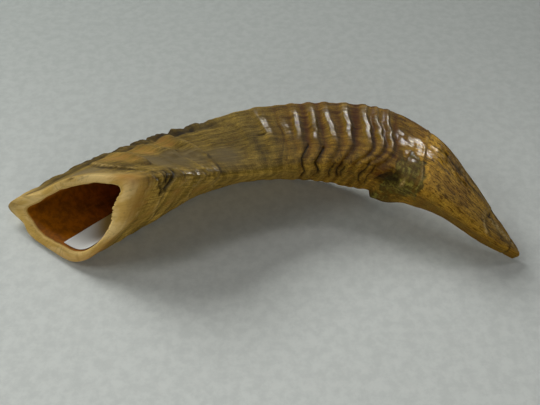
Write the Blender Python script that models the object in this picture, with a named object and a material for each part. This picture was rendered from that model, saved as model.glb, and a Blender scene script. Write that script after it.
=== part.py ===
"""A ram's horn sheath, hollow at the base, lying on its side as it comes to rest.

Three keels run the length of the horn. At every station a growth ring joins them
as a triangle with rounded corners, so the rings follow the growth lines that show
on the horn, and the mouth is cut as slanted as they lie. Station 0 is the mouth
and the last station is the tip. Angles run around a ring: the near keel is at 0,
the far keel at 120 and the base keel at -120 degrees.
"""

import bmesh
import bpy
import numpy as np

MM = 0.001

# Keel points in millimetres, one for each station from the mouth to the tip.
# X runs along the horn, Y away from its hollow side, and Z is up from the table.
FAR_KEEL = (
    (-153, -8, 5.5), (-119, 17, 11), (-91, 25, 20), (-65, 30, 28), (-37, 36, 33),
    (-12, 43, 36), (11, 46, 37), (34, 46, 38), (55, 44, 38), (76, 35, 38),
    (98, 14, 35), (112, -6, 26), (125, -24, 14), (134, -37, 5),
)
NEAR_KEEL = (
    (-70, -22, 42), (-56, -19, 41), (-43, -16, 38), (-29, -12, 34), (-12, -7, 31),
    (4, -2, 29), (20, 2, 28), (36, 3, 28), (52, 1, 29), (66, -5, 29),
    (82, -18, 30), (97, -28, 25), (118, -38, 13), (136, -43, 3),
)
BASE_KEEL = (
    (-103, -49, 3), (-86, -31, 1), (-67, -14, 1), (-48, 4, 1), (-25, 17, 0),
    (-4, 22, 0), (14, 22, 0), (29, 20, 2), (44, 15, 4), (58, 7, 6),
    (80, -6, 7), (97, -16, 7), (117, -32, 2), (132, -42, -0.5),
)
STATIONS = np.arange(len(FAR_KEEL))
TIP_STATION = STATIONS[-1]

# How sharp the ring's corners are at each station: 2 is nearly round.
CORNER_SHARPNESS = (3.5, 4, 4.5, 5, 4.5, 4.2, 4, 4, 3.6, 3.2, 2.6, 2.4, 2.2, 2.2)
# How far each face swells past that, as a share of the ring's corner radius.
TOP_SWELL = (0.29, 0.15, 0.07, 0.02, 0, 0, 0, 0, 0, 0, 0, 0, 0, 0)
BACK_SWELL = (0.05, 0.03, 0, 0, 0, 0, 0, 0, 0, 0, 0, 0, 0, 0)
LOWER_SWELL = (0.14, 0.05, 0.02, 0, 0, 0, 0, 0, 0, 0, 0, 0, 0, 0)

# Angles of the three corners and of the middles of the three faces, in degrees.
NEAR_CORNER, FAR_CORNER, BASE_CORNER = 0, 120, -120
TOP_MIDDLE, BACK_MIDDLE, LOWER_MIDDLE = 60, 180, -60
HALF_FACE = 60

# The hollow that held the bony core. Walls are in millimetres.
WALL_AT_MOUTH = 6.0
WALL_GROWTH = 0.6
CORNER_WALL = 6.0
NEAR_CORNER_SPREAD = 25
FAR_CORNER_SPREAD = 16
CORNER_WALL_FADE = 2.5
HOLLOW_TAPER_START = 2.5
LIP_HEIGHT = 0.8
LIP_SHARE = 0.4

# Growth ridges: station, height in millimetres, half width in stations.
GROWTH_RIDGES = (
    (0.55, 0.4, 0.16), (1.25, 0.8, 0.20), (1.90, 0.5, 0.18), (2.40, 0.4, 0.16),
    (2.87, 0.9, 0.16), (3.70, 0.3, 0.20), (4.62, 0.4, 0.16), (5.20, 1.0, 0.18),
    (5.72, 0.4, 0.14), (6.05, 1.1, 0.15), (6.48, 1.1, 0.13), (6.97, 1.2, 0.17),
    (7.59, 1.2, 0.15), (8.13, 1.1, 0.14), (8.49, 1.0, 0.11), (8.82, 0.9, 0.11),
    (9.68, 0.5, 0.12),
)
RIDGE_WAVE = 0.10
RIDGE_WAVE_TURNS = 3
RIDGE_TOP_ANGLE = 70
RIDGE_SPREAD = 70
RIDGE_FLOOR = 0.45

# The scalloped far keel, with the groove beside it.
KEEL_GROOVE_DEPTH = 0.9
KEEL_GROOVE_ANGLE = 107
KEEL_GROOVE_SPREAD = 7
SCALLOP_DEPTH = 1.0
SCALLOP_PITCH = 0.62
SCALLOP_SPREAD = 12
SCALLOP_END = 4.6
SCALLOP_FADE = 0.5

# Wrinkles that cross the near keel beside the mouth.
WRINKLE_DEPTH = 0.8
WRINKLE_PITCH = 0.45
WRINKLE_SLANT = 0.02
WRINKLE_ANGLE = -12
WRINKLE_SPREAD = 18
WRINKLE_SPAN = (0.25, 2.1)
WRINKLE_SOFTNESS = 0.3

# The flaked scar near the tip, its hollow, and the lump that hangs below it.
SCAR_DEPTH = 0.9
SCAR_SPAN = (8.62, 9.75)
SCAR_ANGLES = (-20, 58)
SCAR_EDGE_TURN = 9
SCAR_HOLLOW = (8.88, -6, 2.0)
SCAR_HOLLOW_SPREAD = (0.28, 13)
LUMP_HEIGHT = 2.6
LUMP_SPAN = (9.0, 9.95)
LUMP_ANGLE = -97
LUMP_SPREAD = 26
LUMP_CREST = 0.4

# The pinch behind the mouth's far corner, which leaves the corner as a beak.
BEAK_PINCH = 3.0
BEAK_ANGLE = 147
BEAK_SPREAD = 14
BEAK_FADE = 1.0

# The crescent step on the spike, and the rib that runs on to its point.
STEP_DEPTH = 0.9
STEP_SPAN = (11.5, 12.3)
STEP_ANGLE = 85
STEP_SPREAD = 35
STEP_FLOOR = 0.2
RIB_HEIGHT = 0.5
RIB_ANGLE = 112
RIB_SPREAD = 12
RIB_SPAN = (11.5, 12.9)
RIB_SOFTNESS = 0.4
EDGE_SOFTNESS = 0.12

# The grid: stretches of stations with their ring counts, and points in a ring.
RING_STRETCHES = ((0.0, 2.0, 15), (2.0, 4.6, 14), (4.6, 9.0, 40), (9.0, 12.0, 15), (12.0, 13.0, 5))
HOLLOW_STRETCHES = ((0.0, 3.0, 11), (3.0, 7.6, 9))
RING_POINTS = 42
TIP_CAP = 1.5

# The blank slip of paper curled inside the mouth.
SLIP_THICKNESS = 0.3
SLIP_CLEARANCE = 0.5
SLIP_SPAN = (0.06, 2.4)
SLIP_ANGLES = (-139, -50)
SLIP_GRID = (11, 12)

HORN_COLOUR = (0.36, 0.24, 0.11, 1.0)
HORN_ROUGHNESS = 0.38
PAPER_COLOUR = (0.80, 0.78, 0.72, 1.0)
PAPER_ROUGHNESS = 0.9
SMOOTH_BELOW = np.radians(45)


def clear_scene():
    """Remove every object that the file opened with."""
    for item in list(bpy.data.objects):
        bpy.data.objects.remove(item, do_unlink=True)


def along(points, station):
    """Read a smooth curve through one point per station, at any stations."""
    given = np.array(points, dtype=float)
    knots = np.vstack([2 * given[0] - given[1], given, 2 * given[-1] - given[-2]])
    index = np.clip(np.floor(station).astype(int), 0, len(given) - 2)
    part = (station - index)[:, None]
    before, start, end, after = (knots[index + step] for step in range(4))
    cubic = 3 * (start - end) + after - before
    square = 2 * before - 5 * start + 4 * end - after
    return start + 0.5 * part * (end - before + part * (square + part * cubic))


def turn(angle, middle):
    """Give the angle away from a middle, between -180 and 180 degrees."""
    return (angle - middle + 180) % 360 - 180


def bell(offset, spread):
    """A smooth hump of height 1, whose size is set by its spread."""
    return np.exp(-((offset / spread) ** 2))


def ramp(value, start, length):
    """Rise smoothly from 0 at start to 1 a given length further on."""
    share = np.clip((value - start) / length, 0, 1)
    return share * share * (3 - 2 * share)


def window(value, span, softness):
    """Be 1 inside a span and 0 outside it, with soft ends."""
    return ramp(value, span[0], softness) * (1 - ramp(value, span[1] - softness, softness))


def ring_radius(station, angle):
    """Radius of the ring in its own plane, where 1 reaches the three keels."""
    sharpness = np.interp(station, STATIONS, CORNER_SHARPNESS)
    face_distance = 0.5 * 2 ** (1 / sharpness)
    crowding = 0
    swelling = 0
    faces = ((TOP_MIDDLE, TOP_SWELL), (BACK_MIDDLE, BACK_SWELL), (LOWER_MIDDLE, LOWER_SWELL))
    for middle, swell in faces:
        away = turn(angle, middle)
        facing = np.maximum(0, np.cos(np.radians(away)))
        crowding = crowding + (facing / face_distance) ** sharpness
        hump = np.cos(np.radians(away * 90 / HALF_FACE)) ** 2
        swelling = swelling + np.interp(station, STATIONS, swell) * np.where(abs(away) < HALF_FACE, hump, 0)
    return crowding ** (-1 / sharpness) + swelling


def ring_frame(station, angle):
    """Centre of each ring, and the way from it to each point of the plain skin."""
    near, far, base = (along(keel, station) for keel in (NEAR_KEEL, FAR_KEEL, BASE_KEEL))
    centre = (near + far + base) / 3
    across = near - centre
    upward = (far - base) / (np.sin(np.radians(FAR_CORNER)) - np.sin(np.radians(BASE_CORNER)))
    radius = ring_radius(station[:, None], angle[None, :])
    turned = np.radians(angle)[None, :]
    reach_across = (radius * np.cos(turned))[..., None] * across[:, None]
    reach_upward = (radius * np.sin(turned))[..., None] * upward[:, None]
    return centre[:, None], reach_across + reach_upward


def growth_relief(station, angle):
    """The growth ridges, highest on the top face and waved around the horn."""
    waved = station + RIDGE_WAVE * np.sin(np.radians(RIDGE_WAVE_TURNS * (angle - RIDGE_TOP_ANGLE)))
    strength = RIDGE_FLOOR + (1 - RIDGE_FLOOR) * bell(turn(angle, RIDGE_TOP_ANGLE), RIDGE_SPREAD)
    ridges = sum(height * bell(waved - place, width) for place, height, width in GROWTH_RIDGES)
    return ridges * strength


def keel_relief(station, angle):
    """The scallops of the far keel and the wrinkles across the near keel."""
    reach = 1 - ramp(station, SCALLOP_END, SCALLOP_FADE)
    groove = KEEL_GROOVE_DEPTH * bell(turn(angle, KEEL_GROOVE_ANGLE), KEEL_GROOVE_SPREAD)
    beat = 0.5 + 0.5 * np.cos(2 * np.pi * station / SCALLOP_PITCH)
    scallop = SCALLOP_DEPTH * beat * bell(turn(angle, FAR_CORNER), SCALLOP_SPREAD)
    slanted = station + WRINKLE_SLANT * turn(angle, WRINKLE_ANGLE)
    fold = 0.5 - 0.5 * np.cos(2 * np.pi * slanted / WRINKLE_PITCH)
    wrinkle = WRINKLE_DEPTH * fold * bell(turn(angle, WRINKLE_ANGLE), WRINKLE_SPREAD)
    return -(groove + scallop) * reach - wrinkle * window(station, WRINKLE_SPAN, WRINKLE_SOFTNESS)


def scar_relief(station, angle):
    """The flaked scar, the hollow in it, and the lump below it."""
    away = turn(angle, 0)
    scar = SCAR_DEPTH * window(station, SCAR_SPAN, EDGE_SOFTNESS) * window(away, SCAR_ANGLES, SCAR_EDGE_TURN)
    place, side, depth = SCAR_HOLLOW
    long_spread, round_spread = SCAR_HOLLOW_SPREAD
    hollow = depth * bell(station - place, long_spread) * bell(turn(angle, side), round_spread)
    crest_end = LUMP_SPAN[0] + LUMP_CREST
    fall = 1 - ramp(station, crest_end, LUMP_SPAN[1] - crest_end)
    rise = ramp(station, LUMP_SPAN[0], EDGE_SOFTNESS)
    lump = LUMP_HEIGHT * rise * fall * bell(turn(angle, LUMP_ANGLE), LUMP_SPREAD)
    return lump - scar - hollow


def spike_relief(station, angle):
    """The crescent step and the rib on the last stretch before the point."""
    fall = ramp(station, STEP_SPAN[0], EDGE_SOFTNESS)
    floor_end = STEP_SPAN[0] + STEP_FLOOR
    recovery = 1 - ramp(station, floor_end, STEP_SPAN[1] - floor_end)
    step = STEP_DEPTH * fall * recovery * bell(turn(angle, STEP_ANGLE), STEP_SPREAD)
    rib = RIB_HEIGHT * window(station, RIB_SPAN, RIB_SOFTNESS) * bell(turn(angle, RIB_ANGLE), RIB_SPREAD)
    return rib - step


def skin(station, angle):
    """Points of the horn's outside, in millimetres, one row for each station."""
    centre, offset = ring_frame(station, angle)
    rows, columns = station[:, None], angle[None, :]
    relief = growth_relief(rows, columns) + keel_relief(rows, columns)
    relief = relief + scar_relief(rows, columns) + spike_relief(rows, columns)
    relief = relief - BEAK_PINCH * bell(turn(columns, BEAK_ANGLE), BEAK_SPREAD) * bell(rows, BEAK_FADE)
    length = np.linalg.norm(offset, axis=-1)
    return centre + offset * ((length + relief) / length)[..., None]


def hollow_wall(station, angle, raised=0.0):
    """Points of the hollow's wall, or raised above it towards the ring's centre."""
    centre, offset = ring_frame(station, angle)
    rows, columns = station[:, None], angle[None, :]
    corners = bell(turn(columns, NEAR_CORNER), NEAR_CORNER_SPREAD)
    corners = corners + bell(turn(columns, FAR_CORNER), FAR_CORNER_SPREAD)
    wall = WALL_AT_MOUTH + WALL_GROWTH * rows + CORNER_WALL * corners * bell(rows, CORNER_WALL_FADE)
    share = np.clip((rows - HOLLOW_TAPER_START) / (HOLLOW_STRETCHES[-1][1] - HOLLOW_TAPER_START), 0, 1)
    length = np.linalg.norm(offset, axis=-1)
    inside = (length - wall) * np.sqrt(1 - share ** 2) - raised
    return centre + offset * (inside / length)[..., None]


def spread_stations(stretches):
    """Evenly spaced stations in each stretch, without the last stretch's end."""
    return np.concatenate([np.linspace(*stretch, endpoint=False) for stretch in stretches])


def outer_stations():
    """Stations of the outer rings, closest together over the growth ridges."""
    return np.append(spread_stations(RING_STRETCHES), TIP_STATION)


def rim_ring(angle):
    """The rounded lip between the outer and the inner edge of the mouth."""
    mouth = np.zeros(1)
    outer = skin(mouth, angle)[0]
    inner = hollow_wall(mouth, angle)[0]
    near, far, base = (along(keel, mouth)[0] for keel in (NEAR_KEEL, FAR_KEEL, BASE_KEEL))
    outward = np.cross(near - far, base - far)
    outward = outward / np.linalg.norm(outward)
    return outer + LIP_SHARE * (inner - outer) - LIP_HEIGHT * outward * np.sign(outward[0])


def add_rings(mesh, rings, cap_start=None, cap_end=None):
    """Skin rows of points with quads, closing either end on a point if one is given."""
    rows = [[mesh.verts.new(point * MM) for point in ring] for ring in rings]
    count = len(rows[0])
    for row, following in zip(rows, rows[1:]):
        for i in range(count):
            j = (i + 1) % count
            mesh.faces.new((row[i], row[j], following[j], following[i]))
    for row, point in ((rows[0], cap_start), (rows[-1], cap_end)):
        if point is not None:
            hub = mesh.verts.new(point * MM)
            for i in range(count):
                mesh.faces.new((row[(i + 1) % count], row[i], hub))


def lying_shift():
    """How far the keel drawing moves so that it rests on Z = 0, centred on the origin."""
    angle = np.arange(RING_POINTS) * 360 / RING_POINTS
    points = skin(outer_stations(), angle).reshape(-1, 3)
    low, high = points.min(axis=0), points.max(axis=0)
    return -np.array([(low[0] + high[0]) / 2, (low[1] + high[1]) / 2, low[2]])


def finish_object(name, mesh, material, collection, shift):
    """Turn a built mesh into an object with its faces pointing out."""
    bmesh.ops.recalc_face_normals(mesh, faces=mesh.faces)
    bmesh.ops.translate(mesh, verts=mesh.verts, vec=shift * MM)
    data = bpy.data.meshes.new(name)
    mesh.to_mesh(data)
    mesh.free()
    data.materials.append(material)
    data.shade_smooth()
    data.set_sharp_from_angle(angle=SMOOTH_BELOW)
    piece = bpy.data.objects.new(name, data)
    collection.objects.link(piece)
    return piece


def make_material(name, colour, roughness):
    """One Principled material, with no metal in it."""
    material = bpy.data.materials.new(name)
    material.use_nodes = True
    shader = material.node_tree.nodes["Principled BSDF"]
    shader.inputs["Base Color"].default_value = colour
    shader.inputs["Roughness"].default_value = roughness
    shader.inputs["Metallic"].default_value = 0.0
    return material


def make_horn(collection, shift):
    """The sheath: tip, outside, rounded lip, hollow and its rounded end, in one skin."""
    angle = np.arange(RING_POINTS) * 360 / RING_POINTS
    outside = skin(outer_stations(), angle)
    inside = hollow_wall(spread_stations(HOLLOW_STRETCHES), angle)
    rings = [*outside[::-1], rim_ring(angle), *inside]
    last_centre, tip_centre = (ring.mean(axis=0) for ring in outside[-2:])
    onward = tip_centre - last_centre
    tip = tip_centre + TIP_CAP * onward / np.linalg.norm(onward)
    hollow_end = ring_frame(np.array([HOLLOW_STRETCHES[-1][1]]), angle)[0][0, 0]
    mesh = bmesh.new()
    add_rings(mesh, rings, cap_start=tip, cap_end=hollow_end)
    material = make_material("horn", HORN_COLOUR, HORN_ROUGHNESS)
    return finish_object("ram_horn", mesh, material, collection, shift)


def make_slip(collection, shift):
    """The slip of paper, curled to the hollow's floor a little clear of it."""
    station = np.linspace(*SLIP_SPAN, SLIP_GRID[0])
    angle = np.linspace(*SLIP_ANGLES, SLIP_GRID[1])
    lower = hollow_wall(station, angle, SLIP_CLEARANCE)
    upper = hollow_wall(station, angle, SLIP_CLEARANCE + SLIP_THICKNESS)
    loops = [np.concatenate([below, above[::-1]]) for below, above in zip(lower, upper)]
    mesh = bmesh.new()
    add_rings(mesh, loops)
    rows = len(loops)
    width = 2 * SLIP_GRID[1]
    mesh.verts.ensure_lookup_table()
    for start in (0, (rows - 1) * width):
        for i in range(SLIP_GRID[1] - 1):
            corners = (start + i, start + i + 1, start + width - 2 - i, start + width - 1 - i)
            mesh.faces.new([mesh.verts[corner] for corner in corners])
    material = make_material("paper", PAPER_COLOUR, PAPER_ROUGHNESS)
    return finish_object("paper_slip", mesh, material, collection, shift)


def main():
    """Build the horn and the slip of paper in one collection."""
    clear_scene()
    collection = bpy.data.collections.new("ram_horn")
    bpy.context.scene.collection.children.link(collection)
    shift = lying_shift()
    make_horn(collection, shift)
    make_slip(collection, shift)


main()
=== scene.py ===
"""Looks of a ram's horn sheath that lies on a pale table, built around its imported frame.

Three keels run the length of the horn and growth rings join them, as in the frame.
A fine grid of vertices is rolled over those rings, carved with the horn's ridges,
cracks, folds and scar, and dressed from the marks that the carving leaves behind.
Station 0 is the mouth and station 13 the tip. Angles run around a ring in degrees:
the near keel is at 0, the far keel at 120 and the base keel at -120.
"""

import logging
from dataclasses import dataclass, field
from enum import Enum

import bpy
import numpy as np
from bpy.types import Material, Node, NodeSocket, Object
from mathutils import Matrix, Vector
from numpy.typing import NDArray


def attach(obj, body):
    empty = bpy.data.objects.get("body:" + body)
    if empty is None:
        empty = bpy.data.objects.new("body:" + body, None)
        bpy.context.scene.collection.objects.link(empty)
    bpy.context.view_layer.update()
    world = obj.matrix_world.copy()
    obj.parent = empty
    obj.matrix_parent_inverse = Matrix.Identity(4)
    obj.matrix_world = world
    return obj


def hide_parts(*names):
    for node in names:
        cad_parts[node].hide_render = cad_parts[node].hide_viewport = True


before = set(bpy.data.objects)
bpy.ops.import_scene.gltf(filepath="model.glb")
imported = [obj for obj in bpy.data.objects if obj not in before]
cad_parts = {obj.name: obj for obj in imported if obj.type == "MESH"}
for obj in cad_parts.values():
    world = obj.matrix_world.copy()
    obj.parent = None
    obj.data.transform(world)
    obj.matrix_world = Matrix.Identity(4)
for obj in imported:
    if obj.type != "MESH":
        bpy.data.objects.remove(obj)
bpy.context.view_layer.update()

Array = NDArray[np.float64]
Colour = tuple[float, float, float]
Points = tuple[tuple[float, float], ...]

MM = 0.001
LOG = logging.getLogger("ram_horn")


def turn(angle: Array, middle: float | Array) -> Array:
    """Give the angle away from a middle.

    Args:
        angle: Angles in degrees.
        middle: The angle that counts as 0.

    Returns:
        The differences, between -180 and 180 degrees.
    """
    return (angle - middle + 180) % 360 - 180


def bell(offset: Array, spread: float) -> Array:
    """Give a smooth hump of height 1 whose size is set by its spread."""
    return np.exp(-((offset / spread) ** 2))


def ledge(offset: Array, before: float, after: float) -> Array:
    """Give a hump of height 1 with a broad shoulder before its crest and a fall after it.

    Args:
        offset: Distances from the crest, growing towards the tip.
        before: Spread on the mouth's side.
        after: Spread on the tip's side.

    Returns:
        The hump's height at each distance.
    """
    share = abs(offset) / np.where(offset < 0, before, after)
    return np.exp(-(share ** np.where(offset < 0, 3.4, 2.0)))


def ramp(value: Array, start: float, length: float) -> Array:
    """Rise smoothly from 0 at start to 1 a given length further on."""
    share = np.clip((value - start) / length, 0, 1)
    return share * share * (3 - 2 * share)


def window(value: Array, span: tuple[float, float], softness: float) -> Array:
    """Be 1 inside a span and 0 outside it, with soft ends inside the span."""
    return ramp(value, span[0], softness) * (1 - ramp(value, span[1] - softness, softness))


def along(points: tuple, station: Array) -> Array:
    """Read a smooth curve through one point per station.

    Args:
        points: Keel points in millimetres, one for each station.
        station: The stations to read, of one dimension.

    Returns:
        One point for each station read.
    """
    given = np.array(points, dtype=float)
    knots = np.vstack([2 * given[0] - given[1], given, 2 * given[-1] - given[-2]])
    index = np.clip(np.floor(station).astype(int), 0, len(given) - 2)
    part = (station - index)[:, None]
    before, start, end, after = (knots[index + step] for step in range(4))
    cubic = 3 * (start - end) + after - before
    square = 2 * before - 5 * start + 4 * end - after
    return start + 0.5 * part * (end - before + part * (square + part * cubic))


def patches(down: Array, round_: Array, size: tuple[float, float], seed: int) -> Array:
    """Give smooth random patches between -1 and 1 that close up around the horn.

    Args:
        down: Stations, of any shape that fits with round_.
        round_: Angles in degrees.
        size: Patch length in stations and patch width in degrees.
        seed: Picks the pattern.

    Returns:
        The patches' values.
    """
    cells = max(3, round(360 / size[1]))
    table = np.random.default_rng(seed).uniform(-1, 1, (256, cells))
    u, v = np.broadcast_arrays(down / size[0] + 20, (round_ % 360) / 360 * cells)
    i, j = np.floor(u).astype(int), np.floor(v).astype(int)
    a, b = u - i, v - j
    a, b = a * a * (3 - 2 * a), b * b * (3 - 2 * b)
    low = table[i % 256, j % cells] * (1 - b) + table[i % 256, (j + 1) % cells] * b
    high = table[(i + 1) % 256, j % cells] * (1 - b) + table[(i + 1) % 256, (j + 1) % cells] * b
    return low * (1 - a) + high * a


class Mark(Enum):
    """What the carving leaves on the surface, each stored as a point attribute."""

    CREST = "crest"
    TROUGH = "trough"
    CRACK = "crack"
    PALE = "pale"
    GREY = "grey"
    GOLD = "gold"
    OLIVE = "olive"
    SHADE = "shade"
    GLOSS = "gloss"
    RIM = "rim"
    INSIDE = "inside"


@dataclass(frozen=True)
class RingShape:
    """The plain rings that the frame's horn is lofted from.

    Keel points are in millimetres, one for each station from the mouth to the tip.
    """

    far_keel: tuple = (
        (-153, -8, 5.5), (-119, 17, 11), (-91, 25, 20), (-65, 30, 28), (-37, 36, 33),
        (-12, 43, 36), (11, 46, 37), (34, 46, 38), (55, 44, 38), (76, 35, 38),
        (98, 14, 35), (112, -6, 26), (125, -24, 14), (134, -37, 5),
    )
    near_keel: tuple = (
        (-70, -22, 42), (-56, -19, 41), (-43, -16, 38), (-29, -12, 34), (-12, -7, 31),
        (4, -2, 29), (20, 2, 28), (36, 3, 28), (52, 1, 29), (66, -5, 29),
        (82, -18, 30), (97, -28, 25), (118, -38, 13), (136, -43, 3),
    )
    base_keel: tuple = (
        (-103, -49, 3), (-86, -31, 1), (-67, -14, 1), (-48, 4, 1), (-25, 17, 0),
        (-4, 22, 0), (14, 22, 0), (29, 20, 2), (44, 15, 4), (58, 7, 6),
        (80, -6, 7), (97, -16, 7), (117, -32, 2), (132, -42, -0.5),
    )
    sharpness: tuple = (3.5, 4, 4.5, 5, 4.5, 4.2, 4, 4, 3.6, 3.2, 2.6, 2.4, 2.2, 2.2)
    top_swell: tuple = (0.29, 0.15, 0.07, 0.02, 0, 0, 0, 0, 0, 0, 0, 0, 0, 0)
    back_swell: tuple = (0.05, 0.03, 0, 0, 0, 0, 0, 0, 0, 0, 0, 0, 0, 0)
    lower_swell: tuple = (0.14, 0.05, 0.02, 0, 0, 0, 0, 0, 0, 0, 0, 0, 0, 0)
    corner_turn: float = 120
    half_face: float = 60
    wall_at_mouth: float = 6.0
    wall_growth: float = 0.6
    corner_wall: float = 6.0
    near_corner_spread: float = 25
    far_corner_spread: float = 16
    corner_wall_fade: float = 2.5
    mouth_wall: Points = (
        (-180, 7.2), (-155, 5.6), (-136, 6.1), (-124, 6.6), (-114, 5.2), (-103, 3.4), (-93, 3.4), (-78, 6), (-58, 11),
        (-38, 13), (-17, 13.5), (1, 13), (12, 9.1), (25, 6.6), (34, 7), (53, 8.4), (77, 9.6), (94, 11), (113, 16.5),
        (126, 17), (145, 12), (164, 8.7), (180, 7.2),
    )
    mouth_wall_fade: float = 1.2
    hollow_taper_start: float = 2.5
    hollow_end: float = 7.6
    tip_cap: float = 1.5

    @property
    def tip(self) -> float:
        """The last station."""
        return float(len(self.far_keel) - 1)

    def radius(self, station: Array, angle: Array) -> Array:
        """Radius of the rings in their own plane, where 1 reaches the keels.

        Args:
            station: Stations as a column.
            angle: Angles as a row, or one row for each station.

        Returns:
            A radius for each pair.
        """
        stations = np.arange(len(self.sharpness))
        sharpness = np.interp(station, stations, self.sharpness)
        face_distance = 0.5 * 2 ** (1 / sharpness)
        crowding: Array | float = 0.0
        swelling: Array | float = 0.0
        faces = ((60, self.top_swell), (180, self.back_swell), (-60, self.lower_swell))
        for middle, swell in faces:
            away = turn(angle, middle)
            facing = np.maximum(0, np.cos(np.radians(away)))
            crowding = crowding + (facing / face_distance) ** sharpness
            hump = np.cos(np.radians(away * 90 / self.half_face)) ** 2
            inside = np.where(abs(away) < self.half_face, hump, 0)
            swelling = swelling + np.interp(station, stations, swell) * inside
        return crowding ** (-1 / sharpness) + swelling

    def rings(self, station: Array, angle: Array) -> tuple[Array, Array]:
        """Give each ring's centre and the way from it to each point of the plain skin.

        Args:
            station: Stations, of one dimension.
            angle: Angles in degrees, of one dimension.

        Returns:
            The centres and the ways, in millimetres.
        """
        keels = (self.near_keel, self.far_keel, self.base_keel)
        near, far, base = (along(keel, station) for keel in keels)
        centre = (near + far + base) / 3
        across = near - centre
        upward = (far - base) / (2 * np.sin(np.radians(self.corner_turn)))
        radius = self.radius(station[:, None], angle[None, :])
        turned = np.radians(angle)[None, :]
        reach = (radius * np.cos(turned))[..., None] * across[:, None]
        return centre[:, None], reach + (radius * np.sin(turned))[..., None] * upward[:, None]

    def wall(self, station: Array, angle: Array) -> Array:
        """Thickness of the hollow's wall in millimetres."""
        corners = bell(turn(angle, 0), self.near_corner_spread)
        corners = corners + bell(turn(angle, self.corner_turn), self.far_corner_spread)
        corners = corners * bell(station, self.corner_wall_fade)
        plain = self.wall_at_mouth + self.wall_growth * station + self.corner_wall * corners
        steps = (-5.0, -2.5, 0.0, 2.5, 5.0)
        rim = sum(np.interp(turn(angle + step, 0), *zip(*self.mouth_wall)) for step in steps) / len(steps)
        return plain + (rim - plain) * bell(station, self.mouth_wall_fade)

    def hollow(self, station: Array, angle: Array, raised: Array | float = 0.0) -> Array:
        """Give points of the hollow's wall.

        Args:
            station: Stations, of one dimension.
            angle: Angles in degrees, of one dimension.
            raised: Height above the wall, towards the ring's centre.

        Returns:
            One point for each pair, in millimetres.
        """
        centre, offset = self.rings(station, angle)
        rows, columns = station[:, None], angle[None, :]
        run = self.hollow_end - self.hollow_taper_start
        share = np.clip((rows - self.hollow_taper_start) / run, 0, 1)
        length = np.linalg.norm(offset, axis=-1)
        inside = (length - self.wall(rows, columns)) * np.sqrt(1 - share**2) - raised
        return centre + offset * (inside / length)[..., None]


@dataclass
class Skin:
    """The outside's grid while it is carved: heights in millimetres, and marks from 0 to 1."""

    shape: RingShape
    station: Array
    angle: Array
    height: Array = field(init=False)
    marks: dict[Mark, Array] = field(init=False)
    mm_down: Array = field(init=False)
    mm_round: Array = field(init=False)

    def __post_init__(self) -> None:
        """Measure the grid's steps, so that lines can be given a width in millimetres."""
        size = (len(self.station), len(self.angle))
        self.height = np.zeros(size)
        self.marks = {mark: np.zeros(size) for mark in Mark}
        centre, offset = self.shape.rings(self.station, self.angle)
        points = centre + offset
        self.mm_down = np.linalg.norm(np.gradient(points, self.station, axis=0), axis=-1)
        self.mm_round = np.linalg.norm(np.gradient(points, self.angle, axis=1), axis=-1)

    @property
    def rows(self) -> Array:
        """The stations as a column."""
        return self.station[:, None]

    @property
    def columns(self) -> Array:
        """The angles as a row."""
        return self.angle[None, :]

    def add(self, mark: Mark, amount: Array) -> None:
        """Raise a mark to an amount where it is lower than that."""
        self.marks[mark] = np.maximum(self.marks[mark], np.clip(amount, 0, 1))


@dataclass(frozen=True)
class Line:
    """A line drawn on the skin, around the horn or along it."""

    points: Points
    softness: float = 6.0
    wander: float = 1.0

    def offset(self, skin: Skin) -> Array:
        """Give the signed distance of each grid point from the line, in millimetres."""
        raise NotImplementedError

    def reach(self, skin: Skin) -> Array:
        """Be 1 beside the line and fade to 0 past its two ends."""
        raise NotImplementedError


class RingLine(Line):
    """A line around the horn: (angle, station) points in order of angle."""

    def offset(self, skin: Skin) -> Array:
        """Give the distance, growing towards the tip."""
        angles, stations = zip(*self.points)
        wander = patches(skin.rows, skin.columns, (0.5, 9), 11) * 0.012 * self.wander
        return (skin.rows + wander - np.interp(skin.columns, angles, stations)) * skin.mm_down

    def reach(self, skin: Skin) -> Array:
        """Fade past the first and the last angle."""
        span = (self.points[0][0] - self.softness, self.points[-1][0] + self.softness)
        return window(skin.columns, span, self.softness) * np.ones_like(skin.rows)


class LongLine(Line):
    """A line along the horn: (station, angle) points in order of station."""

    def offset(self, skin: Skin) -> Array:
        """Give the distance, growing with the angle."""
        stations, angles = zip(*self.points)
        wander = patches(skin.rows, skin.columns, (0.25, 40), 13) * 1.2 * self.wander
        return turn(skin.columns + wander, np.interp(skin.rows, stations, angles)) * skin.mm_round

    def reach(self, skin: Skin) -> Array:
        """Fade past the first and the last station."""
        fade = self.softness / 60
        span = (self.points[0][0] - fade, self.points[-1][0] + fade)
        return window(skin.rows, span, fade) * np.ones_like(skin.columns)


@dataclass(frozen=True)
class Crease:
    """A crack or a fine dark line: its depth and half width are in millimetres."""

    line: Line
    depth: float
    width: float
    dark: float = 1.0

    def carve(self, skin: Skin) -> None:
        """Cut the line into the skin and darken it with grime and painted shade."""
        offset, reach = self.line.offset(skin), self.line.reach(skin)
        cut = bell(offset, self.width) * reach
        skin.height -= self.depth * cut
        # the crack mark is grime and painted shade in the cut
        skin.add(Mark.CRACK, self.dark * cut)


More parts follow.
